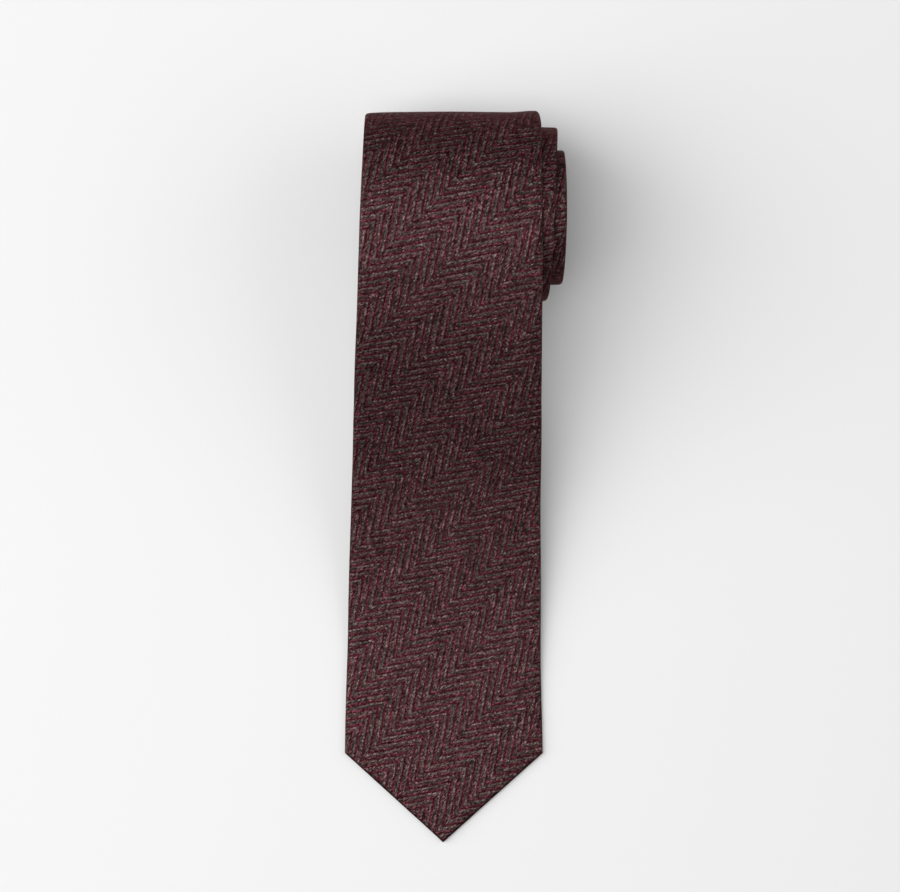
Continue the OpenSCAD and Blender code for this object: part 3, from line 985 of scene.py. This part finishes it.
def sew(name, strokes, radius, node, body=None, finish_slot="sewing_thread"):
    """Make a piece of threads along strokes, each a list of (x, s, depth) on the flat tie."""
    curve = bpy.data.curves.new(name, "CURVE")
    curve.dimensions = "3D"
    curve.bevel_depth = radius
    curve.bevel_resolution = 1
    curve.use_fill_caps = True
    for stroke in strokes:
        spline = curve.splines.new("POLY")
        spline.points.add(len(stroke) - 1)
        for point, (x, s, depth) in zip(spline.points, stroke):
            point.co = (x, s, -depth, 1)
    source = bpy.data.objects.new(name + "_source", curve)
    bpy.context.scene.collection.objects.link(source)
    bpy.context.view_layer.update()
    mesh = bpy.data.meshes.new_from_object(source)
    bpy.data.objects.remove(source)
    mesh.name = name
    mesh.materials.clear()
    mesh.materials.append(THREADS[finish_slot])
    mesh.shade_smooth()
    lay(mesh)
    piece = bpy.data.objects.new(name, mesh)
    bpy.context.scene.collection.objects.link(piece)
    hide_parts(node)
    if body:
        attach(piece, body)
    else:
        bend(piece)
    print(f"{name}: {len(strokes)} stitches, {len(mesh.polygons)} faces")


# %% [markdown]
# The back is closed with one long slack slip stitch. A short bar tack at each end takes the
# strain where the opening starts, and small felling stitches hold the hem down on the tipping.

# %% Slip stitch, bar tacks and hem
FLAP_D = STACK - SHELL_T  # depth of the tipping under the hem
SLIP_PITCH = 6
SLIP_HALF = 0.8
SLIP_SLANT = 2.4
BAR_TACK_L = 9
TACK_HALF = 0.9
TACK_PITCH = 0.42
FELLING_PITCH = 3.2
HEM_END = 19  # from a point to the first stitch of its hem
CLEAR = 6  # from the end of an opening to the next stitch


def slip(start, stop):
    """Slip stitches that slant across the slit."""
    places = np.arange(start, stop - SLIP_SLANT, SLIP_PITCH)
    return [stitch(-SLIP_HALF, p, SLIP_HALF, p + SLIP_SLANT, STACK, 0.06) for p in places]


def bar_tack(s, proud):
    """Stitches laid side by side across the slit."""
    places = np.arange(s - BAR_TACK_L / 2, s + BAR_TACK_L / 2, TACK_PITCH)
    return [stitch(-TACK_HALF, p, TACK_HALF, p + 0.2, STACK, proud) for p in places]


def felling(start, stop):
    """Stitches that slant over the hem's edge, from the tipping up to the cloth."""
    strokes = []
    for s in np.arange(start, stop, FELLING_PITCH):
        for side in (-1, 1):
            edge = float(back_gap(np.array(s)))
            strokes.append(
                [
                    (side * (edge - 0.7), s, FLAP_D - 0.1),
                    (side * (edge - 0.3), s + 0.2, FLAP_D + 0.1),
                    (side * (edge + 0.05), s + 0.4, STACK - 0.05),
                    (side * (edge + 0.5), s + 0.65, STACK + 0.05),
                    (side * (edge + 0.9), s + 0.9, STACK - 0.1),
                ]
            )
    return strokes


tail_opens = TIE_LENGTH - TAIL_OPEN_L
rolled_slip = slip(bottom_s + 2, tail_opens - CLEAR)
blade_hem = felling(HEM_END, BLADE_OPEN_L - CLEAR)
tail_hem = felling(tail_opens + CLEAR, TIE_LENGTH - HEM_END)
sew("slip_stitch_rolled", rolled_slip, FINE_THREAD, "slip_stitch_upper", "roll")
sew("slip_stitch_blade", slip(BLADE_OPEN_L + CLEAR, bottom_s), PLAIN_THREAD, "slip_stitch_lower")
sew("blade_tack", bar_tack(BLADE_OPEN_L, 0.12), TACK_THREAD, "blade_bar_tack", "blade")
sew("tail_tack", bar_tack(tail_opens, 0.03), 0.1, "tail_bar_tack", "roll")
sew("blade_hem_stitches", blade_hem, PLAIN_THREAD, "blade_tipping_stitches", "blade")
sew("tail_hem_stitches", tail_hem, FINE_THREAD, "tail_tipping_stitches", "roll")

# %% [markdown]
# The shell is pieced from three lengths of cloth, because the bias uses it up so fast. The seams
# are sewn before folding, so each crosses the face and both flaps. The thread runs in the join.

# %% Seams between the lengths
def seam_line(s, reach_from, reach_to, depth, swing):
    """A thread that weaves up and down along a join."""
    points = np.arange(reach_from, reach_to, 0.8)
    return [(x, s + 0.04 * np.sin(3 * x), depth + swing * np.cos(pi * i)) for i, x in enumerate(points)]


def shell_seam(s):
    """The thread of a seam, through the face and both flaps."""
    side = float(half_width(np.array(s))) - 1.2
    top, under = SHELL_T / 2, STACK - SHELL_T / 2
    return [
        seam_line(s, -side, side, top, 0.1),
        seam_line(s, -side, -SLIT, under, 0.1),
        seam_line(s, SLIT, side, under, 0.1),
    ]


sew("blade_neck_join", shell_seam(NECK_SEAM), SEAM_THREAD, "blade_neck_seam", "roll")
sew("neck_tail_join", shell_seam(TAIL_SEAM), SEAM_THREAD, "neck_tail_seam", "roll")
lining_half = float(half_width(np.array(JOIN))) - CUFF
lining_thread = seam_line(JOIN, -lining_half, lining_half, INTERLINING_D + INTERLINING_T / 2, 0.4)
sew("interlining_join", [lining_thread], PLAIN_THREAD, "interlining_seam", "roll", "white_thread")

# %% [markdown]
# Two rows of stitches hold the keeper's tabs, short bars hold the label's corners, and one row
# holds the tag.

# %% Stitches of the keeper, the label and the tag
def row_of_stitches(x0, s0, x1, s1, count, depth, proud):
    """Count stitches in a line, with a small space after each."""
    strokes = []
    across, along = x1 - x0, s1 - s0
    for i in range(count):
        a, b = i / count, (i + 0.72) / count
        ends = x0 + across * a, s0 + along * a, x0 + across * b, s0 + along * b
        strokes.append(stitch(*ends, depth, proud))
    return strokes


keeper_stitches = []
label_bars = []
for side in (-1, 1):
    x = side * (KEEPER_HALF - 1.6)
    row_end = KEEPER_S + KEEPER_L - 0.6
    keeper_stitches += row_of_stitches(x, KEEPER_S + 1, x, row_end, 5, BACK + KEEPER_T, 0.1)
    for s in (LABEL_S + 1.2, LABEL_S + LABEL_L - 1.2):
        for step in (-0.35, 0, 0.35):
            inner, outer = side * (LABEL_HALF - 4), side * (LABEL_HALF - 1)
            label_bars.append(stitch(inner, s + step, outer, s + step, BACK + LABEL_T, 0.08))
tag_seam = TAG_S + 1.2
tag_row = row_of_stitches(
    -TAG_HALF + 0.8, tag_seam, TAG_HALF - 0.4, tag_seam, 7, BACK + LABEL_T, 0.08
)
sew("keeper_rows", keeper_stitches, 0.13, "keeper_stitches", "blade")
sew("label_bars", label_bars, PLAIN_THREAD, "label_stitches", "blade")
sew("tag_row", tag_row, 0.1, "care_tag_stitches", "blade")
